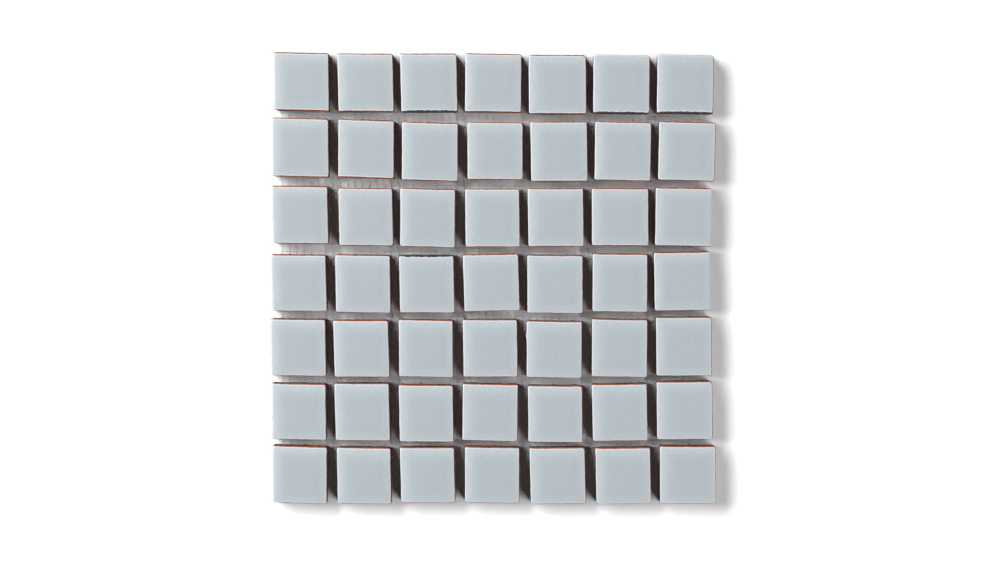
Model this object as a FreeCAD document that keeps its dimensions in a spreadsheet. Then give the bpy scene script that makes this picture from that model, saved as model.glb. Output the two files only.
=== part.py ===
import FreeCAD, Part
import os
import Sketcher

# A sheet of hand-made mosaic tiles: seven rows of seven squares of red clay, glazed on the
# face and laid by hand, face up, on a net of glass-fibre yarns. The joints stay open for grout.
# Millimetres. The origin is the middle of the net's underside. X runs to the right along a
# row, Y up the sheet and Z out of the glazed faces. Rows are counted from the top of the sheet
# and columns from its left.

ROWS = 7
COLUMNS = 7

# Driving dimensions. A joint is the open gap between two tiles that sit evenly.
SIZES = {
    "tile_width": 38.0,
    "tile_depth": 39.5,
    "tile_thickness": 9.5,
    "joint_across": 5.7,
    "joint_along": 5.0,
    "corner_radius": 1.3,
    "cushion_width": 8.0,
    "cushion_drop": 0.7,
    "yarn_pitch": 5.0,
    "yarn_width": 0.6,
    "yarn_thickness": 0.3,
    "net_inset": 4.0,
}

# Sizes that follow from the driving ones. One yarn of each layer runs through the middle.
WORKED_OUT = {
    "pitch_across": "=tile_width + joint_across",
    "pitch_along": "=tile_depth + joint_along",
    "net_across": "=%d * pitch_across - joint_across - 2 * net_inset" % COLUMNS,
    "net_along": "=%d * pitch_along - joint_along - 2 * net_inset" % ROWS,
    "net_thickness": "=2 * yarn_thickness",
    "warp_each_side": "=floor((net_across - yarn_width) / 2 / yarn_pitch)",
    "weft_each_side": "=floor((net_along - yarn_width) / 2 / yarn_pitch)",
    "warp_count": "=2 * warp_each_side + 1",
    "weft_count": "=2 * weft_each_side + 1",
}

# The laying, as the tiles were set by hand: one line for each row of tiles. RIGHT and UP say
# how far a tile sits from its even place, TURN how many degrees it is turned clockwise, and
# WIDER and DEEPER how much more than the plain size it measures.
RIGHT = [
    [0.8, 0.8, 0.1, 0.1, 0.1, -0.2, -0.5],
    [0.0, 1.0, 0.7, 1.4, 1.2, 0.9, 0.8],
    [-0.4, 0.6, -0.9, -0.4, -1.0, -0.8, -1.2],
    [-1.3, -1.4, -1.6, -1.2, -1.4, -0.8, -1.8],
    [-2.0, -2.6, -2.2, -1.9, -1.9, -0.9, -0.7],
    [-1.7, -2.1, -2.0, -2.0, -1.1, -0.7, 0.0],
    [-1.4, -1.0, -1.2, -0.6, 0.6, 1.8, 2.4],
]
UP = [
    [2.1, 1.4, 1.2, 1.1, 0.1, 0.2, 0.2],
    [1.9, 0.9, -0.8, -0.4, -0.8, -0.6, -0.7],
    [0.7, -0.7, -1.4, -1.4, -1.2, -0.9, -0.8],
    [-1.2, -1.8, -1.9, -1.0, -2.1, -1.2, -0.1],
    [-0.9, -1.7, -1.5, -1.4, -2.2, -1.3, -0.2],
    [-0.4, -0.6, -1.6, -1.0, -2.0, -1.0, 0.4],
    [0.7, 0.0, 0.5, 0.5, 0.0, -0.1, 0.6],
]
TURN = [
    [0.4, -0.35, -0.65, 0.7, -0.1, 0.6, 0.65],
    [0.4, 1.2, 0.95, 0.25, -0.5, 1.0, 1.3],
    [-0.3, -0.2, 1.0, -0.3, -0.45, 0.0, 0.8],
    [-0.5, 0.2, -0.5, -1.35, 0.2, 0.4, -1.0],
    [0.0, -0.75, 0.35, -0.35, 0.5, 0.6, -0.5],
    [0.3, -0.6, -0.2, 0.9, -0.05, -1.05, -0.7],
    [0.9, 0.0, -0.7, 0.4, -1.1, -0.9, -0.2],
]
WIDER = [
    [-0.3, 0.0, 0.5, 0.4, 1.2, 0.5, 0.4],
    [0.6, 0.3, 0.3, -0.1, 0.7, 0.3, 0.7],
    [0.2, -0.9, -0.4, -0.8, 0.0, 0.8, 0.7],
    [-0.5, -0.4, -0.3, 0.0, 0.1, -0.4, 0.7],
    [-0.3, -0.2, -0.9, -0.7, -0.1, 0.0, 0.0],
    [-0.9, -0.5, -0.8, 0.0, -0.7, -0.2, 0.2],
    [-0.5, -1.0, -0.7, -0.5, 0.0, -0.2, 0.4],
]
DEEPER = [
    [0.1, 0.2, 0.6, 0.5, 0.9, 0.6, 0.7],
    [0.7, 0.5, 0.5, -0.2, 1.3, 0.7, 0.7],
    [-0.1, 0.0, 0.6, 0.4, 0.5, 0.2, 0.4],
    [-0.7, 0.2, 0.1, -0.5, 0.4, 0.4, 0.7],
    [-0.4, -0.4, -0.1, 0.1, -0.5, 0.3, 0.9],
    [-0.8, 0.0, -0.2, -0.3, -0.4, -0.3, 0.5],
    [0.0, -0.6, -1.1, -0.8, -0.5, -0.6, 0.2],
]
# How many degrees the tiles of each column are out of square.
OUT_OF_SQUARE = [1.8, 1.7, 1.3, 0.7, 0.9, 0.7, 0.5]
LAYING = {"right": RIGHT, "up": UP, "turn": TURN, "wider": WIDER, "deeper": DEEPER}

BOTTOM, RIGHT_SIDE, TOP, LEFT_SIDE = range(4)
START, END = range(1, 3)
SKETCH_ORIGIN = (-1, 1)
HAIR = 0.001

doc = FreeCAD.newDocument("mosaic_tile_sheet")


def tile_places():
    """Row and column of every tile, counted from one."""
    return [(row, column) for row in range(1, ROWS + 1) for column in range(1, COLUMNS + 1)]


def write_cell(sheet, cell, alias, content):
    sheet.set(cell, str(content))
    sheet.setAlias(cell, alias)


def fill_sheets():
    """Write the sizes to one sheet and the laying to another, each value under its alias."""
    sizes = doc.addObject("Spreadsheet::Sheet", "sizes")
    for row, (alias, content) in enumerate({**SIZES, **WORKED_OUT}.items(), 1):
        sizes.set("A%d" % row, alias)
        write_cell(sizes, "B%d" % row, alias, content)
    laying = doc.addObject("Spreadsheet::Sheet", "laying")
    for column, degrees in enumerate(OUT_OF_SQUARE, 1):
        write_cell(laying, "A%d" % column, "out_of_square_c%d" % column, degrees)
    for line, (row, column) in enumerate(tile_places(), 1):
        for letter, (word, table) in zip("BCDEF", LAYING.items()):
            alias = "%s_r%d_c%d" % (word, row, column)
            write_cell(laying, letter + str(line), alias, table[row - 1][column - 1])
    doc.recompute()


def new_body(name):
    body = doc.addObject("PartDesign::Body", name)
    body.Label = name
    return body


def origin_feature(body, role):
    """One of the body's own planes or axes."""
    return [item for item in body.Origin.OriginFeatures if item.Role == role][0]


def four_sided_sketch(body, name, width, depth, lean="0"):
    """A sketch centred on the body's XY plane, with level top and bottom edges. The lean
    shifts its top edge to the left of its bottom edge."""
    sketch = body.newObject("Sketcher::SketchObject", name)
    sketch.AttachmentSupport = (origin_feature(body, "XY_Plane"), [""])
    sketch.MapMode = "FlatFace"
    corners = [FreeCAD.Vector(x, y, 0) for x, y in [(-1, -1), (1, -1), (1, 1), (-1, 1)]]
    for side in range(4):
        sketch.addGeometry(Part.LineSegment(corners[side], corners[(side + 1) % 4]), False)
    for side in range(4):
        following = (side + 1) % 4
        sketch.addConstraint(Sketcher.Constraint("Coincident", side, END, following, START))
    sketch.addConstraint(Sketcher.Constraint("Horizontal", BOTTOM))
    sketch.addConstraint(Sketcher.Constraint("Parallel", TOP, BOTTOM))
    sketch.addConstraint(Sketcher.Constraint("Parallel", LEFT_SIDE, RIGHT_SIDE))
    sketch.addConstraint(Sketcher.Constraint("Symmetric", BOTTOM, START, TOP, START,
                                             *SKETCH_ORIGIN))
    drive(sketch, "width", "DistanceX", (BOTTOM, START, BOTTOM, END), 2.0, width)
    drive(sketch, "depth", "DistanceY", (BOTTOM, START, TOP, END), 2.0, depth)
    drive(sketch, "lean", "DistanceX", (TOP, END, BOTTOM, START), 0.0, lean)
    return sketch


def drive(sketch, label, kind, points, drawn, expression):
    """Add a distance between two points, first as drawn, and bind it to an expression."""
    index = sketch.addConstraint(Sketcher.Constraint(kind, *points, drawn))
    sketch.renameConstraint(index, label)
    sketch.setExpression("Constraints." + label, expression)


def pad(body, sketch, name, length):
    feature = body.newObject("PartDesign::Pad", name)
    feature.Profile = sketch
    feature.setExpression("Length", length)
    return feature


def edges_at(feature, height):
    """Names of the feature's edges that lie at a height."""
    boxes = [edge.BoundBox for edge in feature.Shape.Edges]
    return ["Edge%d" % number for number, box in enumerate(boxes, 1)
            if abs(box.ZMin - height) < HAIR and abs(box.ZMax - height) < HAIR]


def edges_through(feature, height):
    """Names of the feature's edges that pass through a height."""
    boxes = [edge.BoundBox for edge in feature.Shape.Edges]
    return ["Edge%d" % number for number, box in enumerate(boxes, 1)
            if box.ZMin < height < box.ZMax]


def tile_block(row, column):
    """The plain block of one tile: its outline, out of square, padded to its thickness."""
    name = "tile_r%d_c%d" % (row, column)
    body = new_body(name)
    width = "sizes.tile_width + laying.wider_r%d_c%d" % (row, column)
    depth = "sizes.tile_depth + laying.deeper_r%d_c%d" % (row, column)
    lean = "(%s) * tan(laying.out_of_square_c%d * 1 deg)" % (depth, column)
    outline = four_sided_sketch(body, name + "_outline", width, depth, lean)
    return pad(body, outline, name + "_block", "sizes.tile_thickness")


def tile_cushion(body, block):
    """Let the face fall away a little towards its four edges."""
    cushion = body.newObject("PartDesign::Chamfer", body.Name + "_cushion")
    cushion.Base = (block, edges_at(block, block.Shape.BoundBox.ZMax))
    cushion.ChamferType = "Two distances"
    cushion.FlipDirection = True
    cushion.setExpression("Size", "sizes.cushion_width")
    cushion.setExpression("Size2", "sizes.cushion_drop")
    return cushion


def tile_corners(body, cushion):
    """Round the four upright corners."""
    corners = body.newObject("PartDesign::Fillet", body.Name + "_corners")
    corners.Base = (cushion, edges_through(cushion, cushion.Shape.BoundBox.ZMax / 2))
    corners.setExpression("Radius", "sizes.corner_radius")
    return corners


def lay_tile(body, row, column):
    """Put a tile in its place on the net."""
    place = "r%d_c%d" % (row, column)
    across = "%d * sizes.pitch_across + laying.right_%s" % (column - (COLUMNS + 1) // 2, place)
    along = "%d * sizes.pitch_along + laying.up_%s" % ((ROWS + 1) // 2 - row, place)
    turned = "laying.turn_%s + laying.out_of_square_c%d / 2" % (place, column)
    body.setExpression("Placement", "placement(vector(%s; %s; sizes.net_thickness); "
                       "rotation(vector(0; 0; 1); -(%s)))" % (across, along, turned))


def make_tiles():
    """Make all tiles side by side, because each feature needs the edges of the last one."""
    features = {place: tile_block(*place) for place in tile_places()}
    bodies = {place: block.getParentGeoFeatureGroup() for place, block in features.items()}
    for next_feature in (tile_cushion, tile_corners):
        doc.recompute()
        features = {place: next_feature(bodies[place], features[place]) for place in features}
    for place, body in bodies.items():
        lay_tile(body, *place)
    doc.recompute()


def make_yarns(name, width, depth, axis, count, each_side, height):
    """One layer of the net: a flat yarn, repeated to both sides of the middle."""
    body = new_body(name)
    outline = four_sided_sketch(body, name + "_outline", width, depth)
    yarn = pad(body, outline, name + "_yarn", "sizes.yarn_thickness")
    doc.recompute()
    layer = body.newObject("PartDesign::LinearPattern", name + "_layer")
    layer.Originals = [yarn]
    layer.Direction = (origin_feature(body, axis + "_Axis"), [""])
    layer.Mode = "Spacing"
    layer.setExpression("Offset", "sizes.yarn_pitch")
    layer.setExpression("Occurrences", count)
    body.Tip = layer
    body.setExpression("Placement.Base." + axis.lower(), "-%s * sizes.yarn_pitch" % each_side)
    body.setExpression("Placement.Base.z", height)
    doc.recompute()


def make_net():
    """The net's warp runs up the sheet, and its weft lies across it and carries the tiles."""
    make_yarns("net_warp", "sizes.yarn_width", "sizes.net_along", "X",
               "sizes.warp_count", "sizes.warp_each_side", "0")
    make_yarns("net_weft", "sizes.net_across", "sizes.yarn_width", "Y",
               "sizes.weft_count", "sizes.weft_each_side", "sizes.yarn_thickness")


def check_document():
    """Stop if any object failed, or any body is empty, broken or not solid."""
    for item in doc.Objects:
        if "Invalid" in item.State or "Error" in item.State:
            raise RuntimeError("%s failed: %s" % (item.Name, item.State))
    for body in doc.findObjects("PartDesign::Body"):
        shape = body.Shape
        if shape.isNull() or not shape.isValid() or not shape.Solids:
            raise RuntimeError("%s has no sound solid" % body.Label)


def write_parts():
    os.makedirs("parts", exist_ok=True)
    for body in doc.findObjects("PartDesign::Body"):
        body.Shape.exportStep("parts/%s.step" % body.Label)


fill_sheets()
make_tiles()
make_net()
check_document()
write_parts()
print("wrote %d parts" % len(doc.findObjects("PartDesign::Body")))
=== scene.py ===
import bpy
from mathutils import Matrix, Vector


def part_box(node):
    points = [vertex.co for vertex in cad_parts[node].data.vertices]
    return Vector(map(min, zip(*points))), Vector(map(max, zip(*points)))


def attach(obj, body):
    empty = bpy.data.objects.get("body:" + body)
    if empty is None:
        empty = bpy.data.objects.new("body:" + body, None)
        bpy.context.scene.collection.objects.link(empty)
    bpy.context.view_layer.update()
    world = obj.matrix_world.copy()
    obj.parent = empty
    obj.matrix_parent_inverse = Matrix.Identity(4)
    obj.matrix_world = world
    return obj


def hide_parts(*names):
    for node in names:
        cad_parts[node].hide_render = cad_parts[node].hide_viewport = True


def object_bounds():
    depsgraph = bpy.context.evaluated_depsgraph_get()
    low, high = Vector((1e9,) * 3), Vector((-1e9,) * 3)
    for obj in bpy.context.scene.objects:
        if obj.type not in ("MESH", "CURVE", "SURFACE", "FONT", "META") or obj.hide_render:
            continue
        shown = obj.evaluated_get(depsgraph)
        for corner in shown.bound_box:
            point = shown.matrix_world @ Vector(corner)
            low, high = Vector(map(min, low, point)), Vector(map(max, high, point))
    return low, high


bl_info = {
    "name": "Mosaic tile sheet",
    "version": (1, 0, 0),
    "blender": (4, 5, 0),
    "location": "3D View > Sidebar > Tile Sheet",
    "description": "Glazed clay tiles, their net and their stage, built round the packed model",
    "category": "Add Mesh",
}

import math
import random

import bmesh
import bpy
from bpy.props import FloatProperty, FloatVectorProperty, IntProperty, PointerProperty
from bpy.types import Operator, Panel, PropertyGroup
from mathutils import Vector, noise
from mathutils.geometry import intersect_line_line

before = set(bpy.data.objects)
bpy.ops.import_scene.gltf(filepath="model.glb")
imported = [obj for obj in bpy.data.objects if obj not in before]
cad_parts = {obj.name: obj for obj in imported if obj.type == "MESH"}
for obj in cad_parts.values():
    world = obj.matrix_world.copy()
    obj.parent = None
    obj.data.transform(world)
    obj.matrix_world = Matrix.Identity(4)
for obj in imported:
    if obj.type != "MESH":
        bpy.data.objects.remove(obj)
CAD_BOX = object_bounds()

MM = 0.001
TILE_NAMES = sorted(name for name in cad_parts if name.startswith("tile_"))
ROW_DIGIT = len("tile_r")
MIDDLE_ROW = 4

SIDES = LEFT, RIGHT, BOTTOM, TOP = range(4)
CORNERS = ((LEFT, BOTTOM), (RIGHT, BOTTOM), (LEFT, TOP), (RIGHT, TOP))

# What is different about a side: how many millimetres further its glaze has run, and how much of
# it is crusted, from 0 to 1.
USUAL = (0.0, 0.0)
BARE = (-0.3, 0.0)
CRUSTED = (-0.2, 1.0)
COVERED = (0.7, 0.0)

# The sides and corners that look different from the rest in the photo.
ODD_SIDES = {
    ("tile_r1_c2", LEFT): BARE,
    ("tile_r2_c2", LEFT): BARE,
    ("tile_r3_c2", LEFT): BARE,
    ("tile_r4_c3", LEFT): BARE,
    ("tile_r2_c2", BOTTOM): BARE,
    ("tile_r3_c5", BOTTOM): BARE,
    ("tile_r3_c6", BOTTOM): BARE,
    ("tile_r1_c3", BOTTOM): CRUSTED,
    ("tile_r1_c6", BOTTOM): CRUSTED,
    ("tile_r1_c7", BOTTOM): CRUSTED,
    ("tile_r4_c3", TOP): CRUSTED,
    ("tile_r1_c6", TOP): COVERED,
    ("tile_r1_c7", TOP): COVERED,
    ("tile_r3_c7", RIGHT): COVERED,
    ("tile_r4_c7", RIGHT): COVERED,
}
ROUNDER_CORNERS = {
    "tile_r1_c1": ((LEFT, BOTTOM),),
    "tile_r1_c5": ((RIGHT, TOP),),
    "tile_r1_c6": ((LEFT, TOP), (RIGHT, TOP)),
    "tile_r5_c1": ((LEFT, TOP),),
    "tile_r5_c7": ((RIGHT, TOP),),
    "tile_r6_c7": ((RIGHT, TOP),),
    "tile_r7_c7": ((RIGHT, TOP),),
}
BULGED = "tile_r5_c5"

# How much one tile differs from the next, as shares of the usual drop, cushion and corner, and as
# millimetres of glaze.
DROP_RANGE = (0.88, 1.12)
CUSHION_RANGE = (0.92, 1.08)
CORNER_RANGE = (0.8, 1.3)
RUN_RANGE = (-0.1, 0.1)

# The lines of a face's grid: degrees round the arris, then millimetres in from the side.
ARRIS_LINES = (0, 22.5, 45, 67.5, 90)
FACE_LINES = (1.5, 2.2, 3.2, 4.5, 6.2, 8.2, 10.5, 13.5)
LINES_A_SIDE = len(ARRIS_LINES) + len(FACE_LINES)
# The lines of a side's grid, as shares of the way down to the back.
SIDE_LINES = (0.1, 0.24, 0.42, 0.66, 0.88, 0.96, 1.0)

# How tight the waves of edges, sides and faces are, and how far in from an edge its waves reach.
EDGE_WAVES = 150
SIDE_WAVES = 260
FACE_WAVES = 120
WAVES_REACH = 4 * MM
# The share of a side's waves that stays flush with the edge above it.
FLUSH = 0.3

# Added to the distance from a side, so that a spot right on it still takes a little from others.
SIDE_BLEND = 0.3 * MM
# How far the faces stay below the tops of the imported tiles.
FACE_CLEARANCE = 0.05 * MM
# How far up from its back the outline of a packed tile is read, and to how many digits.
FOOT_SEARCH = 0.1 * MM
FOOT_DIGITS = 7

# How much further the glaze's ragged edge spreads for each millimetre that the glaze has run.
RAGGED_RUN = 0.2
# From where to where the glaze comes to cover the clay, and gets thick so that its near-white thin
# edge, partly a painted highlight, fades out, counted from its line; and where the painted sheen
# near an edge fades into the glaze's full colour, counted from the edge.
COVERS = (0.42 * MM, 0.62 * MM)
HIGHLIGHT_FADES = (0.5 * MM, 1.7 * MM)
SHEEN_FADES = (1.2 * MM, 9 * MM)
# How dark and how light the glaze's mottling is, and how strong its pale clouds are.
MOTTLED = (0.965, 1.035)
CLOUDED = 0.08
# How sharply a pattern is cut from its noise.
SOFT = (0.3, 0.7)
GRITTY = (0.38, 0.62)
LUMPY = (0.15, 0.35)
# The painted shade between a yarn's strands, and how strong it is.
BETWEEN_STRANDS = (0.75, 0.76, 0.74)
SHADED = 0.25

THREAD_SIDES, THREAD_FLATNESS = 4, 0.7
WEFT_SIDES, WEFT_FLATNESS = 6, 0.36

SOFTBOX_AWAY = 4.0
FLOOR_CLEARANCE = 0.02 * MM


def length(name, description, default):
    return FloatProperty(
        name=name, description=description, default=default, unit="LENGTH", subtype="DISTANCE"
    )


def share(name, description, default):
    return FloatProperty(
        name=name, description=description, default=default, min=0.0, max=1.0, subtype="FACTOR"
    )


def turn(name, description, degrees):
    return FloatProperty(
        name=name, description=description, default=math.radians(degrees), unit="ROTATION"
    )


def colour(name, description, red, green, blue):
    """A colour that is given as a picture shows it, from 0 to 255, and kept as light."""
    return FloatVectorProperty(
        name=name,
        description=description,
        default=tuple(as_light(part / 255) for part in (red, green, blue)),
        size=3,
        min=0.0,
        max=1.0,
        subtype="COLOR",
    )


def as_light(part):
    """The usual curve from a picture's values to light."""
    return part / 12.92 if part <= 0.04045 else ((part + 0.055) / 1.055) ** 2.4


class TileShape(PropertyGroup):
    """Sizes of the tiles.

    A run below zero stops short of its line, and an unshaded band below zero means that the painted
    shade on a side starts above the edge.
    """

    arris: length("Arris", "Radius of the rounded edge round each face", 0.7 * MM)
    corner: length("Corner", "Usual radius of a tile's upright corners", 1.3 * MM)
    rounder: length("Rounder corner", "Radius of the few corners that are rounder", 2.0 * MM)
    bulge: length("Bulge", "How far the one bulge stands out from a left side", 0.5 * MM)
    bulge_up: length("Bulge up", "Where the bulge is, up from the tile's middle", 9.0 * MM)
    bulge_reach: length("Bulge reach", "How far the bulge reaches along the side", 1.8 * MM)
    cushion: length("Cushion", "How far in from an edge a face falls away", 11.0 * MM)
    left_drop: length("Left drop", "How far a face has fallen at its left edge", 1.2 * MM)
    top_drop: length("Top drop", "How far a face has fallen at its top edge", 1.9 * MM)
    far_drop: length("Far drop", "How far it has fallen at its right and bottom edges", 0.6 * MM)
    wander: length("Wander", "How far an edge wanders inwards from a straight line", 0.2 * MM)
    heave: length("Heave", "How far a face heaves up and down", 0.05 * MM)
    foot: length("Foot", "How far the edge round the back of a tile is set in", 0.4 * MM)
    seed: IntProperty(name="Seed", description="Which set of small differences", default=7)
    run_left: length("Run left", "How far glaze runs past its line on a left side", 0.5 * MM)
    run_right: length("Run right", "How far glaze runs past its line on a right side", 0.0)
    run_bottom: length("Run bottom", "How far glaze runs past its line on a bottom side", 0.1 * MM)
    less_bottom: length("Less bottom", "How much less it runs there in the top row", 0.6 * MM)
    run_top: length("Run top", "How far glaze runs past its line on a top side", -0.45 * MM)
    # How far down each side the clay stays free of painted shade; the left sides are shaded from
    # just above their edge.
    unshaded_left: length("Clean left", "How far down a left side the clay is clean", -0.8 * MM)
    unshaded_right: length("Clean right", "How far down a right side the clay is clean", 0.8 * MM)
    unshaded_bottom: length("Clean bottom", "How far down a bottom side it is clean", 0.6 * MM)
    unshaded_top: length("Clean top", "How far down a top side the clay is clean", 1.0 * MM)


class Glaze(PropertyGroup):
    """Colours and finish of the glaze."""

    body: colour("Body", "Colour of the glaze where it is thick", 184, 193, 198)
    # Pale colours the glaze's random pale clouds, and also the painted sheen that pales it towards
    # every edge.
    pale_and_sheen: colour("Pale", "Colour of the glaze near an edge", 194, 203, 208)
    # Thin is a near-white band where the glaze thins over the arris, partly a painted highlight.
    thin_and_highlit: colour("Thin", "Colour of the glaze where it is thin, along an edge", 228, 232, 234)
    roughness: share("Roughness", "Roughness of the glaze", 0.42)
    ragged: length("Ragged", "How far the glaze's edge spreads back and forth", 0.6 * MM)
    crust: length("Crust", "How much further it spreads where a side is crusted", 1.0 * MM)
    ripple: length("Ripple", "Height of the ripples in the glaze", 0.012 * MM)


class Clay(PropertyGroup):
    """Colours and finish of the clay, with the colours of the painted shade on its sides."""

    body: colour("Body", "Colour of the fired clay", 174, 90, 48)
    dark: colour("Dark", "Colour of the scorched clay at an edge", 126, 60, 30)
    # Side and the darkest colour below it are painted shade down a tile's sides, not dust or soot.
    side: colour("Side", "Colour of the dusty clay further down a side", 70, 65, 62)
    deepest_shade: colour("Soot", "Colour of the darkest clay on a side", 36, 37, 37)
    roughness: share("Roughness", "Roughness of the clay", 0.9)
    # Ragged and fade shape the edge where the painted shade on a side begins.
    ragged: length("Ragged", "How far the edge of the dust spreads back and forth", 0.8 * MM)
    fade: length("Fade", "How far clean clay takes to turn dusty", 1.6 * MM)
    grain: length("Grain", "Height of the clay's grain", 0.25 * MM)


class Net(PropertyGroup):
    """Sizes and finish of the net."""

    pitch: length("Pitch", "From one yarn of the net to the next", 5.0 * MM)
    cad_width: length("Packed width", "Width of a yarn in the packed model", 0.6 * MM)
    weft: length("Weft", "Width of a yarn that runs across", 0.24 * MM)
    thread: length("Thread", "Width of one thread of a pair that runs up", 0.12 * MM)
    gap: length("Gap", "From a pair's middle to each thread, between crossings", 0.08 * MM)
    lift: length("Lift", "How far a thread goes over or under at a crossing", 0.12 * MM)
    fibre: colour("Fibre", "Colour of the glass-fibre yarns", 252, 253, 252)
    roughness: share("Roughness", "Roughness of the yarns", 0.6)


class Stage(PropertyGroup):
    """The camera, the light and the floor."""

    distance: length("Camera distance", "From the camera to the faces", 1.3)
    span: length("Span", "Width of the picture at the faces", 0.6816)
    aim_right: length("Aim right", "Where the picture's middle is, to the right", 4.7 * MM)
    aim_up: length("Aim up", "Where the picture's middle is, up the sheet", -0.27 * MM)
    tilt: turn("Tilt", "How far the camera leans from straight down", 2.45)
    key: share("Key", "Light of the upper left softbox on the floor", 0.8)
    fill: share("Fill", "Light of the lower right softbox on the floor", 0.31)
    board: share("Board", "How white the board under the sheet is", 0.4)
    floor: length("Floor", "Width of the floor", 2.4)
    whiter: share("Whiter", "How much whiter the board looks than it is", 1.0)


def in_order(bm):
    """Puts edges and faces in their vertices' order, because extruding mixes them anew each run."""
    bm.verts.index_update()
    count = len(bm.verts)

    def place(part):
        # Three of its vertices tell a face from any other.
        order = 0
        for index in sorted(vert.index for vert in part.verts)[:3]:
            order = order * count + index
        return order

    bm.edges.sort(key=place)
    bm.faces.sort(key=place)


def new_piece(name, shape, material, node):
    """A new piece from a bmesh, which stands for a node and rides on the sheet's one body."""
    in_order(shape)
    mesh = bpy.data.meshes.new(name)
    shape.to_mesh(mesh)
    shape.free()
    piece = bpy.data.objects.new(name, mesh)
    bpy.context.scene.collection.objects.link(piece)
    mesh.materials.append(material)
    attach(piece, "root")
    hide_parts(node)
    return piece


def new_parts(made, kind):
    """The vertices or the edges that an operator has made."""
    return [item for item in made["geom"] if isinstance(item, kind)]


def extruded(bm, edges):
    """Extrudes a ring of edges, and gives the new vertices and the new open ring."""
    made = bmesh.ops.extrude_edge_only(bm, edges=edges)
    ring = [edge for edge in new_parts(made, bmesh.types.BMEdge) if edge.is_boundary]
    return new_parts(made, bmesh.types.BMVert), ring


def anticlockwise(spots, middle):
    """Spots round a middle in order, from the one that is furthest down on the left."""
    return sorted(spots, key=lambda spot: math.atan2(spot[1] - middle.y, spot[0] - middle.x))


def plan_corners(node):
    """Where the four straight sides of a tile's outline meet: bottom left, then anticlockwise."""
    low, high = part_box(node)
    middle = (low + high) / 2
    foot = {
        (round(vert.co.x, FOOT_DIGITS), round(vert.co.y, FOOT_DIGITS))
        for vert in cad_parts[node].data.vertices
        if vert.co.z < low.z + FOOT_SEARCH
    }
    ring = [Vector((*spot, 0.0)) for spot in anticlockwise(foot, middle)]
    lines = [(ring[i - 1], ring[i]) for i in range(len(ring))]
    longest = sorted(lines, key=lambda line: (line[1] - line[0]).length, reverse=True)
    straight = [line for line in lines if line in longest[:4]]
    corners = [intersect_line_line(*straight[i - 1], *straight[i])[0] for i in range(4)]
    return anticlockwise(corners, middle)


class OwnLook:
    """What a tile's four sides and corners have of their own, with the sides in SIDES' order."""

    def __init__(self, node, shape, rng):
        drops = (shape.left_drop, shape.far_drop, shape.far_drop, shape.top_drop)
        self.drops = [drop * rng.uniform(*DROP_RANGE) for drop in drops]
        self.cushions = [shape.cushion * rng.uniform(*CUSHION_RANGE) for side in SIDES]
        rounder = ROUNDER_CORNERS.get(node, ())
        self.radii = {
            corner: shape.rounder
            if corner in rounder
            else shape.corner * rng.uniform(*CORNER_RANGE)
            for corner in CORNERS
        }
        rows_up = max(0, MIDDLE_ROW - int(node[ROW_DIGIT])) / (MIDDLE_ROW - 1)
        run_bottom = shape.run_bottom - shape.less_bottom * rows_up
        usual_runs = (shape.run_left, shape.run_right, run_bottom, shape.run_top)
        odd = [ODD_SIDES.get((node, side), USUAL) for side in SIDES]
        self.runs = [
            usual + (further + rng.uniform(*RUN_RANGE)) * MM
            for usual, (further, crusted) in zip(usual_runs, odd)
        ]
        self.unshaded_depths = (shape.unshaded_left, shape.unshaded_right, shape.unshaded_bottom, shape.unshaded_top)
        self.crusts = [crusted for further, crusted in odd]

    def fall(self, side, distance):
        """How far the cushioned face has fallen at a distance from a side."""
        return self.drops[side] * max(0.0, 1 - distance / self.cushions[side]) ** 2

    def mixed(self, distances):
        """The run, the depth where painted shade on a side begins, and crust at a spot, by how near
        each of the sides is.
        """
        weights = [1 / (distance + SIDE_BLEND) ** 2 for distance in distances]
        return [
            sum(weight * value for weight, value in zip(weights, values)) / sum(weights)
            for values in (self.runs, self.unshaded_depths, self.crusts)
        ]


def grid_lines(arris, width):
    """Distances from a side to the middle of a face, close together where the edge turns."""
    over_arris = [arris * (1 - math.cos(math.radians(angle))) for angle in ARRIS_LINES]
    return over_arris + [line * MM for line in FACE_LINES] + [width / 2]


def over_arris(near, arris):
    """How far a round edge has fallen at a distance from a side, and the way there over it."""
    outside = max(arris - near, 0.0)
    fall = arris - math.sqrt(arris**2 - outside**2)
    if outside > 0:
        return fall, arris * math.acos(outside / arris)
    return fall, arris * math.pi / 2 + near - arris


def round_corner(first, second, radius):
    """Moves a point near a square corner, given by its distances from two sides, to a round one."""
    near, far = min(first, second), max(first, second)
    if far >= radius:
        return first, second
    angle = math.radians(45) * (radius - far) / (radius - near)
    along = radius - (radius - near) * math.sin(angle)
    across = radius - (radius - near) * math.cos(angle)
    return (along, across) if first > second else (across, along)


def from_first(distance, whole, second):
    """A distance from the left or bottom side, which may be given from the side across."""
    return whole - distance if second else distance


def wave(place, tightness, contrast=0.9):
    """A smooth number from 0 to 1 that changes from place to place."""
    return min(1.0, max(0.0, 0.5 + noise.noise(place * tightness) * contrast))


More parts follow.
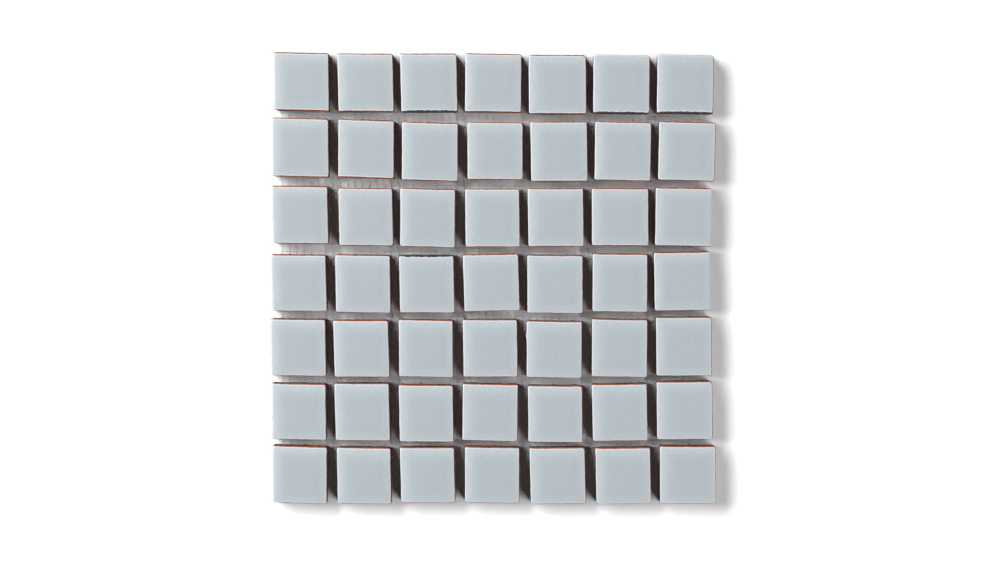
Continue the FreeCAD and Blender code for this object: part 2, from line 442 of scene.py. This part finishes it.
def glazed_tile(node, shape, material, rng):
    """One tile: a grid laid over its face, rounded at the edge and drawn down to its back."""
    low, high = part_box(node)
    a, b, c, d = plan_corners(node)
    middle = (a + b + c + d) / 4
    width = ((b - a).length + (c - d).length) / 2
    depth = ((d - a).length + (c - b).length) / 2
    own = OwnLook(node, shape, rng)
    lines_x = grid_lines(shape.arris, width)
    lines_y = grid_lines(shape.arris, depth)
    steps = 2 * LINES_A_SIDE

    bm = bmesh.new()
    # Per vertex: distance from the rim, the glaze's run, where the painted shade on a side begins,
    # and the crust.
    rim, run, unshaded, crust = (
        bm.verts.layers.float.new(name) for name in ("rim", "run", "unshaded", "crust")
    )
    bmesh.ops.create_grid(bm, x_segments=steps, y_segments=steps, size=1.0)
    for vert in bm.verts:
        i = round((vert.co.x + 1) / 2 * steps)
        j = round((vert.co.y + 1) / 2 * steps)
        right, top = i > LINES_A_SIDE, j > LINES_A_SIDE
        corner = (RIGHT if right else LEFT, TOP if top else BOTTOM)
        across = lines_x[min(i, steps - i)]
        up = lines_y[min(j, steps - j)]
        near = min(across, up)
        fall, vert[rim] = over_arris(near, shape.arris)
        fall += math.hypot(own.fall(corner[0], across), own.fall(corner[1], up))

        left = from_first(across, width, right)
        bottom = from_first(up, depth, top)
        distances = (left, width - left, bottom, depth - bottom)
        vert[run], vert[unshaded], vert[crust] = own.mixed(distances)

        across, up = round_corner(across, up, own.radii[corner])
        u = from_first(across, width, right) / width
        v = from_first(up, depth, top) / depth
        place = a.lerp(b, u).lerp(d.lerp(c, u), v)
        waving = max(0.0, 1 - near / WAVES_REACH)
        inward = (middle - place).normalized()
        place += inward * shape.wander * waving * wave(place, EDGE_WAVES)
        if node == BULGED and not right:
            off = (place.y - (a.y + d.y) / 2 - shape.bulge_up) / shape.bulge_reach
            place.x -= shape.bulge * waving * math.exp(-off * off)
        heave = shape.heave * noise.noise(place * FACE_WAVES) * (1 - waving)
        vert.co = (place.x, place.y, high.z - FACE_CLEARANCE - fall + heave)

    draw_down(bm, rim, (run, unshaded, crust), low.z, shape)
    bmesh.ops.recalc_face_normals(bm, faces=bm.faces)
    for face in bm.faces:
        face.smooth = len(face.verts) == 4
    return new_piece(node.replace("tile", "glazed_tile"), bm, material, node)


def draw_down(bm, rim, layers, base, shape):
    """Draws the outline of a face down to the back of the tile, and closes the back."""
    ring = [edge for edge in bm.edges if edge.is_boundary]
    tops = {}
    for share_down in SIDE_LINES:
        verts, ring = extruded(bm, ring)
        for vert in verts:
            above = next(
                edge.other_vert(vert) for edge in vert.link_edges if not edge.is_boundary
            )
            start = tops.get(above, above.co.copy())
            tops[vert] = start
            drop = (start.z - base) * share_down
            vert.co = (start.x, start.y, start.z - drop)
            vert[rim] = -drop
            for layer in layers:
                vert[layer] = above[layer]
        set_in(verts, shape, shape.foot if share_down == SIDE_LINES[-1] else 0.0)
    bmesh.ops.contextual_create(bm, geom=ring)


def set_in(verts, shape, least):
    """Sets a line of a side in towards the tile's middle, in waves and by the least amount."""
    middle = sum((vert.co for vert in verts), Vector()) / len(verts)
    for vert in verts:
        inward = Vector((middle.x - vert.co.x, middle.y - vert.co.y, 0.0)).normalized()
        amount = least + shape.wander * (wave(vert.co, SIDE_WAVES) - FLUSH)
        vert.co += inward * max(0.0, amount)


def yarn_along(bm, line, width, thickness, sides):
    """A flat yarn of a few sides, drawn from point to point and closed at both ends."""
    run = (line[-1] - line[0]).normalized()
    across = Vector((-run.y, run.x, 0.0)) * width / 2
    ring = bmesh.ops.create_circle(bm, segments=sides, radius=1.0)["verts"]
    for vert in ring:
        vert.co = line[0] + across * vert.co.x + Vector((0.0, 0.0, vert.co.y * thickness / 2))
    first = edges = list({edge for vert in ring for edge in vert.link_edges})
    for before, after in zip(line, line[1:]):
        ring, edges = extruded(bm, edges)
        bmesh.ops.translate(bm, verts=ring, vec=after - before)
    for end in (first, edges):
        bmesh.ops.contextual_create(bm, geom=end)


def spread(bm, step, times):
    """Repeats everything made so far, a step further on each time."""
    pattern = bm.verts[:] + bm.edges[:] + bm.faces[:]
    for count in range(1, times):
        copies = new_parts(bmesh.ops.duplicate(bm, geom=pattern), bmesh.types.BMVert)
        bmesh.ops.translate(bm, verts=copies, vec=step * count)
    bmesh.ops.recalc_face_normals(bm, faces=bm.faces)


def places_along(low, high, pitch):
    """Places along a yarn: its ends, each crossing, and the middle between two crossings."""
    count = math.floor((high - low) / 2 / pitch)
    return [low] + [pitch * half / 2 for half in range(-2 * count, 2 * count + 1)] + [high]


def warp_yarns(net):
    """Pairs of threads up the sheet, which change places over and under each weft yarn."""
    low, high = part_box("net_warp")
    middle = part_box("net_weft")[1].z / 2
    bm = bmesh.new()
    for side in (0, 1):
        line = []
        for step, place in enumerate(places_along(low.y, high.y, net.pitch)):
            twist = math.pi * ((step - 1) / 2 + side)
            line.append(Vector((
                low.x + net.cad_width / 2 + net.gap * math.sin(twist),
                place,
                middle + net.lift * math.cos(twist),
            )))
        line[0].z = line[1].z
        line[-1].z = line[-2].z
        yarn_along(bm, line, net.thread, net.thread * THREAD_FLATNESS, THREAD_SIDES)
    spread(bm, Vector((net.pitch, 0.0, 0.0)), round((high.x - low.x) / net.pitch) + 1)
    return bm


def weft_yarns(net):
    """Flat yarns across the sheet, which the warp holds."""
    low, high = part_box("net_weft")
    bm = bmesh.new()
    line = [
        Vector((place, low.y + net.cad_width / 2, high.z / 2))
        for place in places_along(low.x, high.x, net.pitch)
    ]
    yarn_along(bm, line, net.weft, net.weft * WEFT_FLATNESS, WEFT_SIDES)
    spread(bm, Vector((0.0, net.pitch, 0.0)), round((high.y - low.y) / net.pitch) + 1)
    return bm


def new_material(name):
    """A material with only its shader and its output, and its node tree."""
    material = bpy.data.materials.new(name)
    material.use_nodes = True
    tree = material.node_tree
    shader = next(node for node in tree.nodes if node.type == "BSDF_PRINCIPLED")
    return material, tree, shader


def give(tree, value, socket):
    """Links a socket to another one, or else sets it to a number or a tint."""
    if isinstance(value, bpy.types.NodeSocket):
        tree.links.new(value, socket)
    elif socket.type == "RGBA":
        socket.default_value = (*value, 1.0)
    else:
        socket.default_value = value


def object_place(tree):
    return tree.nodes.new("ShaderNodeTexCoord").outputs["Object"]


def held_value(tree, name):
    """A number that each vertex of a piece holds under a name."""
    made = tree.nodes.new("ShaderNodeAttribute")
    made.attribute_name = name
    return made.outputs["Fac"]


def noise_at(tree, place, scale, detail, roughness=0.5):
    made = tree.nodes.new("ShaderNodeTexNoise")
    for key, value in (
        ("Vector", place), ("Scale", scale), ("Detail", detail), ("Roughness", roughness)
    ):
        give(tree, value, made.inputs[key])
    return made.outputs["Fac"]


def ramp(tree, value, low, high, to_low=0.0, to_high=1.0):
    made = tree.nodes.new("ShaderNodeMapRange")
    made.interpolation_type = "SMOOTHSTEP"
    for key, number in (
        ("Value", value),
        ("From Min", low),
        ("From Max", high),
        ("To Min", to_low),
        ("To Max", to_high),
    ):
        give(tree, number, made.inputs[key])
    return made.outputs["Result"]


def calculate(tree, operation, first, second):
    made = tree.nodes.new("ShaderNodeMath")
    made.operation = operation
    for socket, value in zip(made.inputs, (first, second)):
        give(tree, value, socket)
    return made.outputs["Value"]


def plus(tree, first, second):
    return calculate(tree, "ADD", first, second)


def minus(tree, first, second):
    return calculate(tree, "SUBTRACT", first, second)


def times(tree, first, second):
    return calculate(tree, "MULTIPLY", first, second)


def blend(tree, amount, first, second, mode="MIX"):
    """Mixes two colours, each of them a tint or a socket."""
    made = tree.nodes.new("ShaderNodeMix")
    made.data_type = "RGBA"
    made.blend_type = mode
    give(tree, amount, made.inputs[0])
    colours = [socket for socket in made.inputs if socket.type == "RGBA"]
    for socket, value in zip(colours, (first, second)):
        give(tree, value, socket)
    return next(socket for socket in made.outputs if socket.type == "RGBA")


def tile_material(glaze, clay):
    """Satin glaze that thins out over the arris, where the red clay of the body shows."""
    material, tree, shader = new_material("glazed clay")
    place = object_place(tree)
    rim, run, unshaded, crust = (
        held_value(tree, name) for name in ("rim", "run", "unshaded", "crust")
    )
    wander = noise_at(tree, place, scale=420, detail=3.0)

    ragged = plus(tree, times(tree, run, RAGGED_RUN), glaze.ragged)
    ragged = plus(tree, ragged, times(tree, crust, glaze.crust))
    reach = minus(tree, plus(tree, rim, run), times(tree, wander, ragged))
    covered = ramp(tree, reach, *COVERS)
    glazed = glaze_tint(tree, glaze, place, rim, reach)

    # Where the painted shade on a side begins, wandering a little.
    shadowed = minus(tree, plus(tree, rim, unshaded), times(tree, wander, clay.ragged))
    earth = clay_tint(tree, clay, place, shadowed, crust)
    give(tree, blend(tree, covered, earth, glazed), shader.inputs["Base Color"])
    gloss = ramp(tree, covered, 0.0, 1.0, clay.roughness, glaze.roughness)
    give(tree, gloss, shader.inputs["Roughness"])

    ripples = times(tree, noise_at(tree, place, scale=500, detail=2.0), glaze.ripple)
    grain = noise_at(tree, place, scale=2600, detail=4.0, roughness=0.7)
    grain = times(tree, times(tree, grain, minus(tree, 1.0, covered)), clay.grain)
    bump = tree.nodes.new("ShaderNodeBump")
    for key, value in (
        ("Strength", 1.0), ("Distance", 1.0), ("Height", plus(tree, ripples, grain))
    ):
        give(tree, value, bump.inputs[key])
    give(tree, bump.outputs["Normal"], shader.inputs["Normal"])
    return material


def glaze_tint(tree, glaze, place, rim, reach):
    """The glaze's colour: slightly mottled, with painted sheen paling it near an edge, and a
    near-white band where it thins over the arris, partly a painted highlight.
    """
    mottle = ramp(tree, noise_at(tree, place, scale=700, detail=4.0, roughness=0.6), *SOFT)
    shade = ramp(tree, mottle, 0.0, 1.0, *MOTTLED)
    cloud = ramp(tree, noise_at(tree, place, scale=45, detail=2.0), *SOFT)
    # Painted sheen: the glaze pales towards every edge.
    past_sheen = ramp(tree, rim, *SHEEN_FADES)
    # The near-white thin edge over the arris, partly a painted highlight.
    thick_past_highlight = ramp(tree, reach, *HIGHLIGHT_FADES)
    tint = blend(tree, past_sheen, glaze.pale_and_sheen, glaze.body)
    tint = blend(tree, 1.0, tint, shade, mode="MULTIPLY")
    tint = blend(tree, times(tree, cloud, CLOUDED), tint, glaze.pale_and_sheen)
    return blend(tree, thick_past_highlight, glaze.thin_and_highlit, tint)


def clay_tint(tree, clay, place, shadowed, crust):
    """The clay's colour: red at the edge, painted shade further down a side, and the same dark
    colours in lumps under a crust.
    """
    grit = ramp(tree, noise_at(tree, place, scale=900, detail=5.0, roughness=0.7), *GRITTY)
    lumps = ramp(tree, noise_at(tree, place, scale=600, detail=2.0), *LUMPY)
    unshaded = ramp(tree, shadowed, -clay.fade, 0.0)
    unshaded = minus(tree, unshaded, times(tree, times(tree, crust, lumps), unshaded))
    # Painted shade: the side and darkest colours, mixed by grit.
    shaded_clay = blend(tree, grit, clay.deepest_shade, clay.side)
    return blend(tree, unshaded, shaded_clay, blend(tree, grit, clay.dark, clay.body))


def yarn_material(net):
    """White glass fibre, with painted shade between its strands."""
    material, tree, shader = new_material("glass fibre yarn")
    strands = noise_at(tree, object_place(tree), scale=1500, detail=3.0)
    between = ramp(tree, strands, *SOFT, to_high=SHADED)
    give(tree, blend(tree, between, net.fibre, BETWEEN_STRANDS), shader.inputs["Base Color"])
    give(tree, net.roughness, shader.inputs["Roughness"])
    return material


def looked_at(tree):
    """1 for a ray from the camera, or one that it sends on by gloss or through glass, else 0."""
    rays = tree.nodes.new("ShaderNodeLightPath").outputs
    seen = calculate(tree, "MAXIMUM", rays["Is Camera Ray"], rays["Is Glossy Ray"])
    return calculate(tree, "MAXIMUM", seen, rays["Is Transmission Ray"])


def board_material(stage):
    """The white board under the sheet, which looks whiter than the light it gives back."""
    material, tree, shader = new_material("white board")
    for key, value in (
        ("Base Color", (stage.board,) * 3), ("Roughness", 1.0), ("Specular IOR Level", 0.0)
    ):
        give(tree, value, shader.inputs[key])
    extra = tree.nodes.new("ShaderNodeBsdfDiffuse")
    extra_white = blend(tree, looked_at(tree), (0, 0, 0), (stage.whiter,) * 3)
    give(tree, extra_white, extra.inputs["Color"])
    both = tree.nodes.new("ShaderNodeAddShader")
    give(tree, shader.outputs["BSDF"], both.inputs[0])
    give(tree, extra.outputs["BSDF"], both.inputs[1])
    output = next(node for node in tree.nodes if node.type == "OUTPUT_MATERIAL")
    give(tree, both.outputs["Shader"], output.inputs["Surface"])
    return material


class SHEET_OT_tiles(Operator):
    """Builds the 49 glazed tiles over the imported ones"""

    bl_idname = "tile_sheet.tiles"
    bl_label = "Glazed tiles"

    def execute(self, context):
        if not TILE_NAMES:
            raise RuntimeError("The packed model has no tiles.")
        scene = context.scene
        material = tile_material(scene.sheet_glaze, scene.sheet_clay)
        rng = random.Random(scene.sheet_tile.seed)
        for node in TILE_NAMES:
            glazed_tile(node, scene.sheet_tile, material, rng)
        return {"FINISHED"}


class SHEET_OT_net(Operator):
    """Weaves the net that holds the tiles together"""

    bl_idname = "tile_sheet.net"
    bl_label = "Net"

    def execute(self, context):
        net = context.scene.sheet_net
        material = yarn_material(net)
        new_piece("warp_yarns", warp_yarns(net), material, "net_warp")
        new_piece("weft_yarns", weft_yarns(net), material, "net_weft")
        return {"FINISHED"}


def softbox(name, azimuth, elevation, width, height, level):
    """An area lamp that gives the floor a share of full light.

    Its azimuth is in degrees clockwise from up the sheet, and its elevation in degrees.
    """
    azimuth, elevation = math.radians(azimuth), math.radians(elevation)
    lamp = bpy.data.lights.new(name, "AREA")
    lamp.shape = "RECTANGLE"
    lamp.size, lamp.size_y = width, height
    lamp.energy = level * math.pi**2 * SOFTBOX_AWAY**2 / math.sin(elevation)
    box = bpy.data.objects.new(name, lamp)
    bpy.context.scene.collection.objects.link(box)
    away = Vector((
        math.sin(azimuth) * math.cos(elevation),
        math.cos(azimuth) * math.cos(elevation),
        math.sin(elevation),
    ))
    box.location = away * SOFTBOX_AWAY
    box.rotation_euler = (-away).to_track_quat("-Z", "Y").to_euler()


class SHEET_OT_stage(Operator):
    """Sets the floor, the lights and the camera"""

    bl_idname = "tile_sheet.stage"
    bl_label = "Stage"

    def execute(self, context):
        scene, stage = context.scene, context.scene.sheet_stage
        self.make_floor(scene, stage)
        self.make_world(scene)
        softbox("key", azimuth=-60, elevation=28, width=4.0, height=1.8, level=stage.key)
        softbox("fill", azimuth=122, elevation=32, width=3.0, height=1.4, level=stage.fill)
        self.make_camera(scene, stage)
        scene.view_settings.view_transform = "Standard"
        return {"FINISHED"}

    def make_floor(self, scene, stage):
        bm = bmesh.new()
        bmesh.ops.create_grid(bm, x_segments=1, y_segments=1, size=stage.floor / 2)
        bmesh.ops.translate(bm, verts=bm.verts, vec=(0, 0, -FLOOR_CLEARANCE))
        mesh = bpy.data.meshes.new("floor")
        bm.to_mesh(mesh)
        bm.free()
        floor = bpy.data.objects.new("floor", mesh)
        scene.collection.objects.link(floor)
        mesh.materials.append(board_material(stage))

    def make_world(self, scene):
        """A world that looks white and gives no light."""
        world = bpy.data.worlds.new("studio")
        scene.world = world
        world.use_nodes = True
        tree = world.node_tree
        ground = tree.nodes["Background"]
        give(tree, (1, 1, 1), ground.inputs["Color"])
        give(tree, looked_at(tree), ground.inputs["Strength"])

    def make_camera(self, scene, stage):
        lens = bpy.data.cameras.new("camera")
        camera = bpy.data.objects.new("camera", lens)
        scene.collection.objects.link(camera)
        aim = Vector((stage.aim_right, stage.aim_up, CAD_BOX[1][2]))
        away = Vector((0.0, math.sin(stage.tilt), math.cos(stage.tilt)))
        camera.location = aim + away * stage.distance
        camera.rotation_euler = (-stage.tilt, 0.0, 0.0)
        lens.sensor_fit = "HORIZONTAL"
        lens.lens = lens.sensor_width * stage.distance / stage.span
        lens.clip_end = 20.0
        scene.camera = camera


class SHEET_PT_panel(Panel):
    """The steps that build the tile sheet, and its sizes and colours"""

    bl_idname = "SHEET_PT_panel"
    bl_label = "Tile Sheet"
    bl_space_type = "VIEW_3D"
    bl_region_type = "UI"
    bl_category = "Tile Sheet"

    def draw(self, context):
        for step in STEPS:
            self.layout.operator(step.bl_idname, text=step.bl_label)
        for name, kind in SETTINGS.items():
            group = getattr(context.scene, name)
            box = self.layout.box()
            for key in kind.__annotations__:
                box.prop(group, key)


STEPS = (SHEET_OT_tiles, SHEET_OT_net, SHEET_OT_stage)
SETTINGS = {
    "sheet_tile": TileShape,
    "sheet_glaze": Glaze,
    "sheet_clay": Clay,
    "sheet_net": Net,
    "sheet_stage": Stage,
}


def register():
    for group in SETTINGS.values():
        bpy.utils.register_class(group)
    for step in (*STEPS, SHEET_PT_panel):
        bpy.utils.register_class(step)
    for name, group in SETTINGS.items():
        setattr(bpy.types.Scene, name, PointerProperty(type=group))


def unregister():
    for name in SETTINGS:
        delattr(bpy.types.Scene, name)
    for step in reversed((*STEPS, SHEET_PT_panel)):
        bpy.utils.unregister_class(step)
    for group in reversed(SETTINGS.values()):
        bpy.utils.unregister_class(group)


def main():
    register()
    bpy.ops.tile_sheet.stage()
    bpy.ops.tile_sheet.tiles()
    bpy.ops.tile_sheet.net()


if __name__ == "__main__":
    main()
